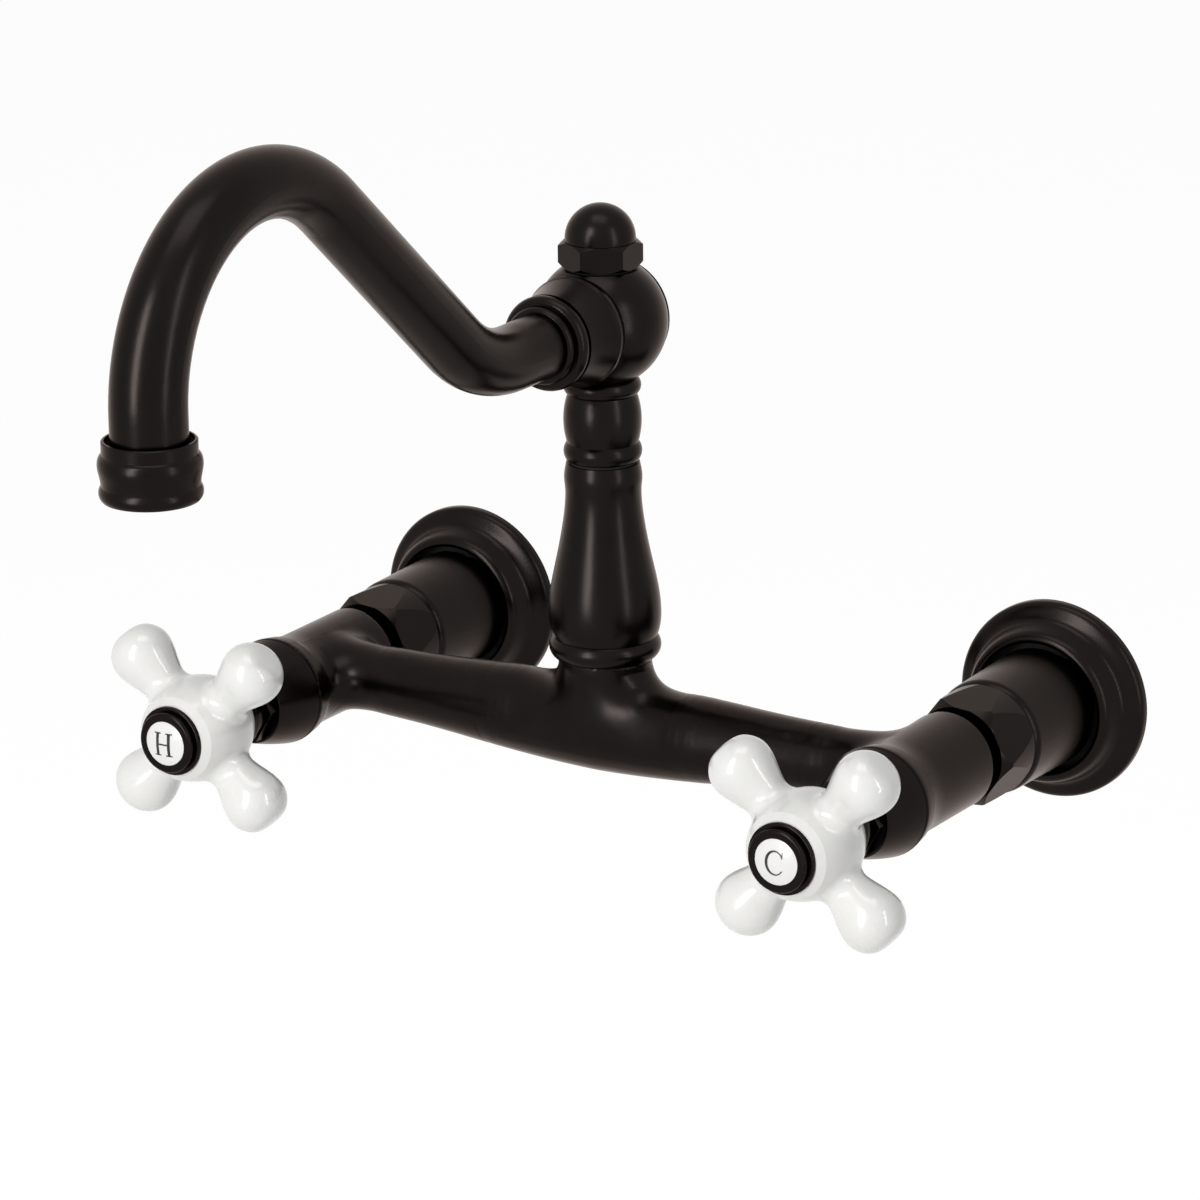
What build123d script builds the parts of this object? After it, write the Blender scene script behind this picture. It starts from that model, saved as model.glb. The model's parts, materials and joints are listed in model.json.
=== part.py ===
"""Wall-mounted bridge faucet with a swivelling gooseneck spout and two porcelain cross handles.

+Z is up, the wall is the plane Y = 0 and the faucet stands out towards -Y.
The origin is midway between the two wall inlets. Hot is at -X and cold at +X.
"""

import os
from math import cos, radians, sin, sqrt, tan

from build123d import *

# Driving dimensions, in millimetres

# Fits
running_gap = 0.03
joint_gap = 0.05

# Layout
inlet_spacing = 203.2

# Wall flange
flange_radius = 29.8
flange_rim_height = 1.4
flange_bead_radius = 27.2
flange_bead_height = 4.4
flange_valley_radius = 25.0
flange_valley_height = 5.6
flange_roll_radius = 21.4
flange_roll_height = 12.6
flange_hole_radius = 19.7
flange_wall = 1.5
flange_lip_drop = 0.5
flange_seal_room = 0.4

# Union between the wall coupling and the body
coupling_radius = 17.9
coupling_nose_radius = 17.1
coupling_length = 44.5
coupling_shoulder = 2.6
coupling_shoulder_drop = 1.3
coupling_stem_radius = 14.0
coupling_stem_length = 11.0
inlet_radius = 9.5
inlet_depth = 16.0
union_bore = 6.5
union_thread_radius = 13.2
union_thread_length = 5.4
union_washer_thickness = 1.8
union_nut_radius = 16.4
union_nut_length = 16.6
union_nut_front_across = 28.0
union_nut_back_across = 32.5
union_nut_front_radius = 14.2
union_nut_front_chamfer = 3.1
union_nut_back_chamfer = 0.5
union_nut_turn = -5.0
tail_flange_radius = 12.6
tail_flange_thickness = 3.2
tail_neck_radius = 10.4
tail_thread_radius = 9.0
tail_thread_length = 8.5
tail_gap = 5.2

# Bridge body
arm_middle_radius = 13.6
arm_shoulder_radius = 12.5
arm_shoulder_offset = 33.0
arm_end_radius = 10.3
arm_end_offset = 78.0
arm_root_radius = 12.2
arm_tilt = 1.0
arm_blend = 7.0
arm_bore = 5.0
saddle_tube_radius = 12.55
saddle_bend_radius = 22.6
boss_radius = 13.6
boss_height = 21.2
barrel_radius = 14.2
barrel_back_radius = 14.4
barrel_back_chamfer = 0.4
barrel_rear = 20.3
barrel_flare_offset = 7.4
barrel_flare_radius = 15.3
barrel_band_radius = 16.2
barrel_band_width = 5.4
barrel_band_round = 0.8
barrel_band_step = 0.2
barrel_fore = 22.2

# Valve
valve_chamber_radius = 10.5
valve_gallery_radius = 11.4
valve_seat_drop = 6.6
valve_port = 4.5
seat_seal_thickness = 1.6
disc_radius = 8.2
fixed_disc_thickness = 3.0
moving_disc_thickness = 2.6
disc_port_inner = 2.0
disc_port_outer = 6.4
disc_port_angle = 76.0
drive_slot_width = 3.0
drive_slot_depth = 1.0
cartridge_body_radius = 9.9
cartridge_thread_length = 9.0
cartridge_neck_radius = 11.0
cartridge_neck_length = 12.8
cartridge_hex_across_flats = 19.0
cartridge_hex_length = 5.6
gland_radius = 9.0
gland_length = 1.8
cartridge_window_width = 7.0
body_ring_section = 1.6
stem_foot_thickness = 3.0
stem_foot_width = 6.4
stem_radius = 4.5
stem_ring_section = 1.5
spline_radius = 4.2
spline_depth = 0.45
spline_teeth = 16
spline_length = 10.0
stem_clip_thickness = 0.8
stem_clip_radius = 6.2

# Bonnet collar
collar_radius = 16.0
collar_shoulder_radius = 14.2
collar_front_radius = 11.9
collar_chamfer = 0.3
collar_length = 14.8

# Cross handle
ferrule_length = 6.1
ferrule_neck_radius = 9.6
ferrule_neck_length = 2.1
ferrule_bead_radius = 10.8
ferrule_bead_edge = 10.3
ferrule_bead_length = 2.2
ferrule_front_radius = 11.0
hub_length = 25.4
hub_back_radius = 11.2
hub_radius = 15.4
hub_front_radius = 12.6
hub_belly_drop = 1.5
hub_round = 1.8
handle_arm_count = 4
handle_arm_rise = 12.0
handle_arm_reach = 35.4
handle_bulb_radius = 9.0
handle_bulb_offset = 30.2
handle_crown_radius = 6.9
handle_crown_drop = 1.9
handle_waist_radius = 6.8
handle_waist_offset = 17.5
handle_root_radius = 9.0
handle_blend = 4.0
cold_handle_turn = 2.8
insert_radius = 7.5
insert_pocket_depth = 8.0
insert_nose_radius = 5.0
insert_nose_length = 3.0
button_well_radius = 8.2
screw_head_radius = 3.8
screw_head_height = 2.6
screw_radius = 2.0
screw_length = 14.0
screw_socket = 2.5

# Index button
bezel_base_radius = 10.3
bezel_base_thickness = 1.3
bezel_lip_radius = 9.05
bezel_base_round = 0.5
bezel_groove_radius = 8.8
bezel_lip_height = 2.3
bezel_lip_round = 0.8
bezel_wall = 1.0
bezel_spigot_length = 8.0
index_radius = 6.6
index_recess = 1.2
index_crown = 1.2
index_edge_drop = 0.1

# Spout column
base_bead_height = 6.2
base_bead_radius = 16.25
column_foot_radius = 14.2
column_groove_radius = 15.05
column_belly_radius = 16.3
column_belly_rise = 8.9
column_shoulder_radius = 14.35
column_shoulder_rise = 12.0
column_waist_radius = 12.35
column_waist_rise = 21.8
column_neck_radius = 11.05
column_neck_drop = 7.0
column_rim_radius = 10.6
vase_height = 52.0
column_thread_radius = 8.5
column_thread_length = 12.6
column_bore = 4.5
column_seal_width = 2.4
column_seal_thickness = 1.2

# Swivel post and its nut
post_radius = 6.5
post_bore = 4.2
post_thread_length = 15.0
post_port = 2.6
post_stud_radius = 5.0
post_stud_length = 13.0
post_ring_section = 1.6
post_ring_rises = (10.0, 17.0)
thrust_washer_thickness = 0.8
thrust_washer_radius = 9.6
cap_washer_thickness = 0.55
cap_washer_radius = 9.8
acorn_across_flats = 21.0
acorn_hex_height = 7.4
acorn_chamfer_radius = 10.6
acorn_chamfer_angle = 40.0
acorn_dome_radius = 10.15
acorn_dome_rise = 8.05
acorn_turn = 33.0

# Swivel head
head_lower_bead_height = 5.3
head_lower_bead_radius = 11.3
head_waist_radius = 10.3
head_barrel_height = 13.2
head_barrel_radius = 11.25
head_upper_bead_radius = 11.2
head_neck_radius = 9.95
head_neck_step = 1.0
ball_rise = 40.7
ball_radius = 19.1
ball_top_radius = 11.15
head_chamber_radius = 9.5
head_chamber_height = 20.0
head_face_offset = 11.8
head_thread_radius = 9.95
head_thread_length = 2.9
plug_face_offset = 11.3
plug_proud = 0.4

# Spout
groove_width = 0.6
groove_depth = 1.0
socket_back_radius = 15.2
socket_rim_radius = 16.1
socket_rim_width = 3.2
socket_step = 0.5
socket_middle_radius = 14.75
socket_front_radius = 13.6
socket_length = 15.0
socket_bore = 7.3
collar_disc_radius = 13.7
collar_disc_thickness = 4.5
collar_disc_round = 1.0
collar_ring_radius = 11.2
collar_ring_lip_radius = 10.2
collar_ring_length = 2.6
collar_ring_round = 1.6
spout_radius = 9.45
spout_outlet_radius = 10.15
spout_wall = 1.2
spout_seat = 12.0
spout_reach = 217.7
spout_rise_angle = 40.7
spout_first_bend = 45.0
spout_main_bend = 49.5
spout_bend_start = 48.0
spout_leg = 13.3

# Aerator
aerator_height = 15.7
aerator_mouth_radius = 12.4
aerator_mouth_depth = 3.6
aerator_mouth_chamfer = 0.3
aerator_bulge_drop = 2.6
aerator_bulge_radius = 13.55
aerator_waist_radius = 12.75
aerator_lip_radius = 13.4
aerator_lip_height = 3.9
aerator_lip_round = 0.9
aerator_rim_wall = 0.8
aerator_seat_rise = 8.4
aerator_insert_radius = 10.6
aerator_washer_thickness = 1.4
screen_thickness = 0.8
screen_hole_radius = 0.65
screen_pitch = 2.1
insert_rib = 1.4

# Radius of the stem under its teeth
stem_core = spline_radius - spline_depth

# Heights up the column, measured along Z
column_groove_height = boss_height + base_bead_height
column_top = column_groove_height + vase_height
head_bottom = column_top + thrust_washer_thickness
spout_height = head_bottom + ball_rise
head_top = spout_height + sqrt(ball_radius**2 - ball_top_radius**2)
post_shoulder = head_top + cap_washer_thickness

# Spout's centre line, as distances from the column axis and heights
spout_slope = radians(spout_rise_angle)
first_turn = spout_first_bend * tan(spout_slope / 2)
spout_corner = spout_bend_start + first_turn
spout_crest = spout_height + (spout_reach - spout_corner) * tan(spout_slope)
main_turn = spout_main_bend * tan((radians(90) + spout_slope) / 2)
leg_top = spout_crest - main_turn
leg_bottom = leg_top - spout_leg
aerator_bottom = leg_bottom - aerator_seat_rise

# Distances from the wall along a valve axis
union_nut_front = coupling_length + union_nut_length
union_nose_end = coupling_length + union_thread_length
barrel_back = union_nut_front + tail_gap
body_standoff = barrel_back + barrel_rear
barrel_flare_start = body_standoff + barrel_flare_offset
barrel_front = body_standoff + barrel_fore
valve_seat = body_standoff - valve_seat_drop
tail_flange_back = union_nose_end + union_washer_thickness
tail_flange_front = tail_flange_back + tail_flange_thickness
fixed_disc_back = valve_seat + seat_seal_thickness
moving_disc_back = fixed_disc_back + fixed_disc_thickness + running_gap
stem_foot_back = moving_disc_back + moving_disc_thickness
stem_foot_front = stem_foot_back + stem_foot_thickness
cartridge_hex_start = barrel_front + cartridge_neck_length
cartridge_hex_front = cartridge_hex_start + cartridge_hex_length
gland_front = cartridge_hex_front + gland_length
stem_clip_back = gland_front + joint_gap
stem_clip_front = stem_clip_back + stem_clip_thickness
insert_back = stem_clip_front + joint_gap
stem_front = insert_back + spline_length
handle_back = insert_back + ferrule_length
handle_plane = handle_back + handle_arm_rise
handle_front = handle_back + hub_length
handle_web_height = handle_back + insert_pocket_depth
screw_seat = handle_web_height + insert_nose_length
bezel_front = handle_front + bezel_base_thickness + bezel_lip_height
index_back = bezel_front - index_recess

# Distances along the spout's horizontal stub, from the column axis
socket_back = head_face_offset + groove_width
socket_front = socket_back + socket_length
collar_ring_back = socket_front + collar_disc_thickness
collar_front = collar_ring_back + collar_ring_length


# Placing

def valve_axis(side):
    """Frame of a valve: its Z runs from the wall towards the user."""
    return Location((side * inlet_spacing / 2, 0, 0), (90, 0, 0))


def column_axis():
    """Frame of the column: its Z is the faucet's Z."""
    return Location((0, -body_standoff, 0))


def spout_axis():
    """Frame of the spout's stub: its Z runs from the column axis towards the user."""
    return Location((0, -body_standoff, spout_height), (90, 0, 0))


def plug_axis():
    """Frame of the rear plug: its Z runs from the column axis towards the wall."""
    return Location((0, -body_standoff, spout_height), (-90, 0, 0))


def outlet_axis():
    """Frame of the outlet: its Z is the faucet's Z."""
    return Location((0, -body_standoff - spout_reach, 0))


# Shapes shared by many pieces

def rod(radius, low, high):
    """Cylinder on the local Z axis between two heights."""
    return Pos(0, 0, low) * Cylinder(radius, high - low, align=(Align.CENTER, Align.CENTER, Align.MIN))


def ring(outer, inner, low, high):
    """Flat ring on the local Z axis between two heights."""
    return rod(outer, low, high) - rod(inner, low, high)


def turned(*edges):
    """Solid turned about the local Z axis from a closed outline of (radius, height) edges."""
    return revolve(Plane.XZ * make_face(Curve() + list(edges)), Axis.Z, 360)


def turned_polygon(*points):
    """Solid turned about the local Z axis from straight edges only."""
    return turned(Polyline(*points, close=True))


def bulge(start, end, radius):
    """Arc between two (radius, height) points whose middle stands at the given radius."""
    return ThreePointArc(start, (radius, (start[1] + end[1]) / 2), end)


def box_between(low, high):
    """Box from its lowest corner to its highest corner."""
    size = [top - bottom for bottom, top in zip(low, high)]
    return Pos(*low) * Box(*size, align=(Align.MIN, Align.MIN, Align.MIN))


def hex_bar(across_flats, low, high, turn=0):
    """Hexagonal bar on the local Z axis."""
    face = RegularPolygon(across_flats / 2, 6, major_radius=False, rotation=turn)
    return extrude(Pos(0, 0, low) * face, high - low)


def o_ring(inner_radius, section, middle):
    """Round-section ring, squeezed flat against the bore by the running gap."""
    centre = inner_radius + section / 2
    torus = Pos(0, 0, middle) * Torus(centre, section / 2)
    return torus


def ring_groove(bore_radius, section, middle):
    """Groove that a round ring of the given section lies in, under a bore."""
    floor = bore_radius - section
    half = section / 2 + joint_gap
    return ring(bore_radius + 1, floor, middle - half, middle + half)


# Bridge body

def bridge_arm(side):
    """Tapered tube from the middle to one valve barrel, turned about an axis that rises outwards."""
    knots = [
        (-inlet_spacing / 2, arm_root_radius),
        (-arm_end_offset, arm_end_radius),
        (-arm_shoulder_offset, arm_shoulder_radius),
        (0, arm_middle_radius),
        (arm_shoulder_offset, arm_shoulder_radius),
        (arm_end_offset, arm_end_radius),
        (inlet_spacing / 2, arm_root_radius),
    ]
    crown = Spline(*knots)
    base = Polyline(knots[-1], (knots[-1][0], 0), (knots[0][0], 0), knots[0])
    arm = revolve(Plane.XZ * make_face(Curve() + [crown, base]), Axis.X, 360)
    keep = box_between((0, -inlet_spacing, -inlet_spacing), (inlet_spacing, inlet_spacing, inlet_spacing))
    arm = (Rot(0, -arm_tilt, 0) * arm) & keep
    if side < 0:
        arm = mirror(arm, about=Plane.YZ)
    return Pos(0, -body_standoff, 0) * arm


def saddle_bend(side):
    """Quarter bend that fills the corner between an arm and the boss."""
    centre = (side * saddle_bend_radius, saddle_bend_radius)
    middle = saddle_bend_radius * (1 - cos(radians(45)))
    start = (side * saddle_bend_radius, 0)
    path = ThreePointArc(start, (side * middle, middle), (0, saddle_bend_radius))
    path = Pos(0, -body_standoff, 0) * (Plane.XZ * path)
    section = Pos(start[0], -body_standoff, 0) * (Plane.YZ * Circle(saddle_tube_radius))
    bend = sweep(section, path=path)
    keep = box_between(
        (-2 * abs(centre[0]), -body_standoff - barrel_back, -barrel_radius),
        (2 * abs(centre[0]), -body_standoff + barrel_back, boss_height),
    )
    return bend & keep


def valve_barrel():
    """Outside of one valve barrel, with its flare and front band."""
    band_back = barrel_front - barrel_band_width
    band_crest = barrel_front - barrel_band_round
    front_radius = barrel_band_radius - barrel_band_step
    return turned(
        TangentArc((barrel_radius, barrel_flare_start), (barrel_flare_radius, band_back), tangent=(0, 1)),
        Polyline(
            (barrel_flare_radius, band_back),
            (barrel_flare_radius + barrel_band_step, band_back + barrel_band_step),
            (barrel_band_radius, band_crest),
        ),
        TangentArc((barrel_band_radius, band_crest), (front_radius, barrel_front), tangent=(0, 1)),
        Polyline(
            (front_radius, barrel_front),
            (0, barrel_front),
            (0, barrel_back),
            (barrel_back_radius - barrel_back_chamfer, barrel_back),
            (barrel_back_radius, barrel_back + barrel_back_chamfer),
            (barrel_radius, barrel_flare_start),
        ),
    )


def bridge_body():
    """Cast body: bridge, boss and both valve barrels, bored for the water."""
    body = bridge_arm(-1) + bridge_arm(1)
    for side in (-1, 1):
        body = body + valve_axis(side) * (Rot(0, 0, 90) * valve_barrel())
    corners = [
        edge for edge in body.edges()
        if edge.geom_type == GeomType.BSPLINE and abs(edge.center().X) > arm_end_offset
    ]
    body = fillet(corners, arm_blend)
    boss = column_axis() * rod(boss_radius, 0, boss_height)
    body = body + boss + saddle_bend(-1) + saddle_bend(1)
    for side in (-1, 1):
        chamber = rod(valve_chamber_radius, valve_seat, barrel_front)
        gallery_end = barrel_front - cartridge_thread_length - 2 * body_ring_section - 1
        chamber += rod(valve_gallery_radius, fixed_disc_back, gallery_end)
        chamber += rod(valve_port, barrel_back, valve_seat)
        chamber += rod(tail_thread_radius, barrel_back, barrel_back + tail_thread_length + joint_gap)
        body = body - valve_axis(side) * chamber
    passage = Pos(-inlet_spacing / 2, -body_standoff, 0) * (Rot(0, 90, 0) * rod(arm_bore, 0, inlet_spacing))
    riser = rod(column_bore, 0, boss_height)
    riser += rod(column_thread_radius, boss_height - column_thread_length, boss_height)
    seal_radius = column_thread_radius + column_seal_width
    riser += rod(seal_radius, boss_height - column_seal_thickness, boss_height)
    return body - passage - column_axis() * riser


# Union between the wall and the body

def wall_flange():
    """Spun wall flange: a bead at the rim, a valley and a roll round the hole."""
    back = -flange_wall
    crest = [
        (flange_bead_radius, flange_bead_height),
        (flange_valley_radius, flange_valley_height),
        (flange_roll_radius, flange_roll_height),
        (flange_hole_radius, flange_roll_height - flange_lip_drop),
    ]
    shell = turned(
        Polyline((flange_hole_radius, crest[3][1]), (flange_hole_radius, back), (flange_radius, back),
                 (flange_radius, flange_rim_height)),
        Spline((flange_radius, flange_rim_height), *crest, tangents=[(0, 1), (-0.6, -1)]),
    )
    inside = rod(flange_radius - flange_wall, -2 * flange_wall, flange_roll_height)
    cavity = (Pos(0, 0, -flange_wall) * shell) & inside
    back_cut = rod(flange_radius + 1, -2 * flange_wall, 0)
    return shell - cavity - back_cut


def flange_seal():
    """Rubber ring that centres the flange on the coupling and seals it to the wall."""
    thickness = flange_bead_height - flange_wall - flange_seal_room
    return ring(flange_bead_radius, coupling_stem_radius + joint_gap, 0, thickness)


def union_coupling():
    """Wall coupling: inlet thread at the wall, cup in the middle, union thread in front."""
    shoulder_back = coupling_length - coupling_shoulder
    shoulder_front_radius = coupling_nose_radius - coupling_shoulder_drop
    body = turned(
        Polyline(
            (0, 0),
            (coupling_stem_radius, 0),
            (coupling_stem_radius, coupling_stem_length),
            (coupling_radius, coupling_stem_length),
            (coupling_nose_radius, shoulder_back),
        ),
        TangentArc(
            (coupling_nose_radius, shoulder_back),
            (shoulder_front_radius, coupling_length),
            tangent=(0, 1),
        ),
        Polyline(
            (shoulder_front_radius, coupling_length),
            (union_thread_radius - joint_gap, coupling_length),
            (union_thread_radius - joint_gap, union_nose_end),
            (0, union_nose_end),
            (0, 0),
        ),
    )
    return body - rod(inlet_radius, 0, inlet_depth) - rod(union_bore, 0, union_nose_end)


def union_washer():
    """Fibre washer squeezed between the coupling and the tailpiece."""
    return ring(tail_flange_radius, union_bore, union_nose_end, tail_flange_back)


def union_nut():
    """Union nut: its six flats run out towards the round back, and its front is chamfered."""
    back = RegularPolygon(union_nut_back_across / 2, 6, major_radius=False, rotation=union_nut_turn)
    front = RegularPolygon(union_nut_front_across / 2, 6, major_radius=False, rotation=union_nut_turn)
    bar = loft([Pos(0, 0, coupling_length) * back, Pos(0, 0, union_nut_front) * front], ruled=True)
    rounding = turned_polygon(
        (0, coupling_length),
        (union_nut_radius - union_nut_back_chamfer, coupling_length),
        (union_nut_radius, coupling_length + union_nut_back_chamfer),
        (union_nut_radius, union_nut_front - union_nut_front_chamfer),
        (union_nut_front_radius, union_nut_front),
        (0, union_nut_front),
    )
    nut = bar & rounding
    nut -= rod(union_thread_radius, coupling_length, tail_flange_front + joint_gap)
    return nut - rod(tail_neck_radius + joint_gap, coupling_length, union_nut_front)


def tailpiece():
    """Flanged tube screwed into the barrel, held against the coupling by the nut."""
    body = rod(tail_flange_radius, tail_flange_back, tail_flange_front)
    body += rod(tail_neck_radius, tail_flange_front, barrel_back)
    body += rod(tail_thread_radius - joint_gap, barrel_back, barrel_back + tail_thread_length)
    return body - rod(union_bore, tail_flange_back, barrel_back + tail_thread_length)


# Valve

def sector_ports(low, high, turn):
    """Two opposite sector-shaped openings."""
    reach = 2 * disc_radius
    half = radians(disc_port_angle / 2)
    corners = [(reach * cos(half), -reach * sin(half)), (reach * cos(half), reach * sin(half))]
    wedge = make_face(Polyline((0, 0), *corners, close=True))
    cutter = extrude(Pos(0, 0, low) * wedge, high - low)
    track = ring(disc_port_outer, disc_port_inner, low, high)
    return Rot(0, 0, turn) * ((track & cutter) + (track & (Rot(0, 0, 180) * cutter)))


def seat_seal():
    """Rubber seat ring under the fixed disc."""
    return ring(disc_radius, valve_port, valve_seat, fixed_disc_back)


def fixed_disc():
    """Ceramic disc that stays with the cartridge."""
    top = fixed_disc_back + fixed_disc_thickness
    return rod(disc_radius, fixed_disc_back, top) - sector_ports(fixed_disc_back, top, 0)


def moving_disc():
    """Ceramic disc turned by the stem, shown closed: its openings lie across the fixed ones."""
    disc = rod(disc_radius - running_gap, moving_disc_back, stem_foot_back)
    disc -= sector_ports(moving_disc_back, stem_foot_back, 90)
    half = drive_slot_width / 2 + joint_gap
    slot = box_between(
        (-disc_radius, -half, stem_foot_back - drive_slot_depth - joint_gap),
        (disc_radius, half, stem_foot_back),
    )
    return disc - slot


def cartridge_body():
    """Brass valve body: skirt round the discs, body thread, neck, hexagon and gland."""
    inner = disc_radius + joint_gap
    skirt_back = valve_seat + joint_gap
    thread_back = barrel_front - cartridge_thread_length
    body = rod(cartridge_body_radius, skirt_back, thread_back)
    body += rod(valve_chamber_radius - joint_gap, thread_back, barrel_front)
    body += rod(cartridge_neck_radius, barrel_front, cartridge_hex_start)
    body += hex_bar(cartridge_hex_across_flats, cartridge_hex_start, cartridge_hex_front)
    body += rod(gland_radius, cartridge_hex_front, gland_front)
    body -= rod(inner, skirt_back, stem_foot_front + joint_gap)
    body -= rod(stem_radius + running_gap, skirt_back, gland_front)
    window = box_between(
        (-valve_gallery_radius, -cartridge_window_width / 2, moving_disc_back),
        (valve_gallery_radius, cartridge_window_width / 2, stem_foot_front),
    )
    body -= window
    return body - ring_groove(valve_chamber_radius, body_ring_section, thread_back - body_ring_section)


def body_ring():
    """Rubber ring that seals the cartridge in the barrel."""
    middle = barrel_front - cartridge_thread_length - body_ring_section
    return o_ring(valve_chamber_radius - body_ring_section, body_ring_section, middle)


def stem_ring_places():
    """Heights of the two rings on the stem."""
    first = stem_foot_front + 8.0
    return first, first + 3 * stem_ring_section


def stem():
    """Spindle: drive foot at the back, ring grooves, clip groove and splined end."""
    key_back = stem_foot_back - drive_slot_depth
    half_foot = stem_foot_width / 2
    half_key = drive_slot_width / 2
    foot = rod(disc_radius - running_gap, stem_foot_back, stem_foot_front)
    foot &= box_between(
        (-disc_radius, -half_foot, stem_foot_back),
        (disc_radius, half_foot, stem_foot_front),
    )
    key = rod(disc_radius - running_gap, key_back, stem_foot_back)
    key &= box_between((-disc_radius, -half_key, key_back), (disc_radius, half_key, stem_foot_back))
    body = foot + key + rod(stem_radius, stem_foot_front, insert_back)
    body += splined_bar(0, insert_back, stem_front)
    for middle in stem_ring_places():
        body -= ring_groove(stem_radius + running_gap, stem_ring_section, middle)
    body -= ring(stem_radius + 1, stem_core, stem_clip_back, stem_clip_front)
    return body - rod(screw_radius + joint_gap, screw_seat - screw_length - 1, stem_front)


def splined_bar(offset, low, high):
    """Toothed bar, grown by an offset to make the matching hole."""
    points = []
    for tooth in range(spline_teeth):
        for step, depth in ((0, 0), (0.5, spline_depth)):
            radius = spline_radius + offset - depth
            angle = radians((tooth + step) * 360 / spline_teeth)
            points.append((radius * cos(angle), radius * sin(angle)))
    return extrude(Pos(0, 0, low) * make_face(Polyline(*points, close=True)), high - low)


def stem_rings():
    """Two rubber rings on the stem."""
    inner = stem_radius + running_gap - stem_ring_section
    return Compound([solid for middle in stem_ring_places()
                     for solid in o_ring(inner, stem_ring_section - running_gap, middle).solids()])


def stem_clip():
    """Open spring clip that keeps the stem in the cartridge."""
    clip = ring(stem_clip_radius, stem_core + running_gap, stem_clip_back, stem_clip_front)
    half = stem_radius / 2
    return clip - box_between((0, -half, stem_clip_back), (2 * stem_clip_radius, half, stem_clip_front))


def bonnet_collar():
    """Domed collar screwed on the cartridge's neck against the barrel's band."""
    back = barrel_front
    front = barrel_front + collar_length
    rim_back = back + collar_chamfer
    rim_front = front - collar_chamfer
    shape = turned(
        Polyline((0, front), (0, back), (collar_radius - collar_chamfer, back), (collar_radius, rim_back)),
        bulge((collar_radius, rim_back), (collar_front_radius, rim_front), collar_shoulder_radius),
        Polyline(
            (collar_front_radius, rim_front),
            (collar_front_radius - collar_chamfer, front),
            (0, front),
        ),
    )
    return shape - rod(cartridge_neck_radius + joint_gap, back, front)


# Cross handle

def handle_arm():
    """One porcelain arm, turned about its own axis."""
    return turned(
        Spline(
            (handle_root_radius, 0),
            (handle_waist_radius, handle_waist_offset),
            (handle_bulb_radius, handle_bulb_offset),
            (handle_crown_radius, handle_arm_reach - handle_crown_drop),
            (0, handle_arm_reach),
            tangents=[(-0.35, 1), (-1, 0)],
        ),
        Polyline((0, handle_arm_reach), (0, 0), (handle_root_radius, 0)),
    )


def handle_ferrule():
    """Metal ring behind the porcelain, with a neck and a fine bead."""
    bore = insert_radius + joint_gap
    bead_back = insert_back + ferrule_neck_length
    bead_front = bead_back + ferrule_bead_length
    return turned(
        Polyline((bore, handle_back), (bore, insert_back), (ferrule_neck_radius, insert_back),
                 (ferrule_neck_radius, bead_back), (ferrule_bead_edge, bead_back)),
        bulge((ferrule_bead_edge, bead_back), (ferrule_bead_edge, bead_front), ferrule_bead_radius),
        Polyline((ferrule_bead_edge, bead_front), (ferrule_front_radius, bead_front),
                 (ferrule_front_radius, handle_back), (bore, handle_back)),
    )


def cross_handle(turn=0):
    """Porcelain cross: hub and arms, bored for the insert, the screw and the button."""
    hub_edge = (hub_front_radius, handle_front - hub_round)
    hub_face = (hub_front_radius - hub_round, handle_front)
    body = turned(
        Spline(
            (hub_back_radius, handle_back),
            (hub_radius, handle_plane - hub_belly_drop),
            hub_edge,
            tangents=[(1, 1), (-0.5, 1)],
        ),
        Line(hub_edge, hub_face),
        Polyline(hub_face, (0, handle_front), (0, handle_back), (hub_back_radius, handle_back)),
    )
    for number in range(handle_arm_count):
        angle = (number + 0.5) * 360 / handle_arm_count
        body = body + Pos(0, 0, handle_plane) * (Rot(0, 0, angle) * (Rot(0, 90, 0) * handle_arm()))
    roots = [edge for edge in body.edges() if edge.geom_type == GeomType.BSPLINE and edge.is_closed]
    body = fillet(roots, handle_blend)
    body -= rod(insert_radius + joint_gap, handle_back, handle_web_height)
    body -= rod(insert_nose_radius + joint_gap, handle_back, screw_seat)
    return Rot(0, 0, turn) * (body - rod(button_well_radius, screw_seat, handle_front))


def handle_insert():
    """Brass insert with the splined hole for the stem."""
    body = rod(insert_radius, insert_back, handle_web_height)
    body += rod(insert_nose_radius, handle_web_height, screw_seat)
    body -= splined_bar(joint_gap, insert_back, stem_front + joint_gap)
    return body - rod(screw_radius + joint_gap, insert_back, screw_seat)


def handle_screw():
    """Screw that ties the handle to the stem."""
    head_front = screw_seat + screw_head_height
    body = rod(screw_head_radius, screw_seat, head_front)
    body += rod(screw_radius, screw_seat - screw_length, screw_seat)
    return body - hex_bar(screw_socket, head_front - screw_head_height * 0.7, head_front)


def button_bezel():
    """Metal button ring pushed into the handle's front well."""
    base_front = handle_front + bezel_base_thickness
    base_edge = (bezel_base_radius, base_front - bezel_base_round)
    base_crest = (bezel_base_radius - bezel_base_round, base_front)
    lip_edge = (bezel_lip_radius, bezel_front - bezel_lip_round)
    lip_crest = (bezel_lip_radius - bezel_lip_round, bezel_front)
    body = turned(
        Polyline((0, handle_front), (bezel_base_radius, handle_front), base_edge),
        TangentArc(base_edge, base_crest, tangent=(0, 1)),
        Polyline(
            base_crest,
            (bezel_groove_radius, base_front),
            (bezel_lip_radius, base_front + bezel_base_round),
            lip_edge,
        ),
        TangentArc(lip_edge, lip_crest, tangent=(0, 1)),
        Polyline(lip_crest, (0, bezel_front), (0, handle_front)),
    )
    outer = button_well_radius - joint_gap
    body += ring(outer, outer - bezel_wall, handle_front - bezel_spigot_length, handle_front)
    return body - rod(index_radius + joint_gap, index_back, bezel_front)


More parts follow.
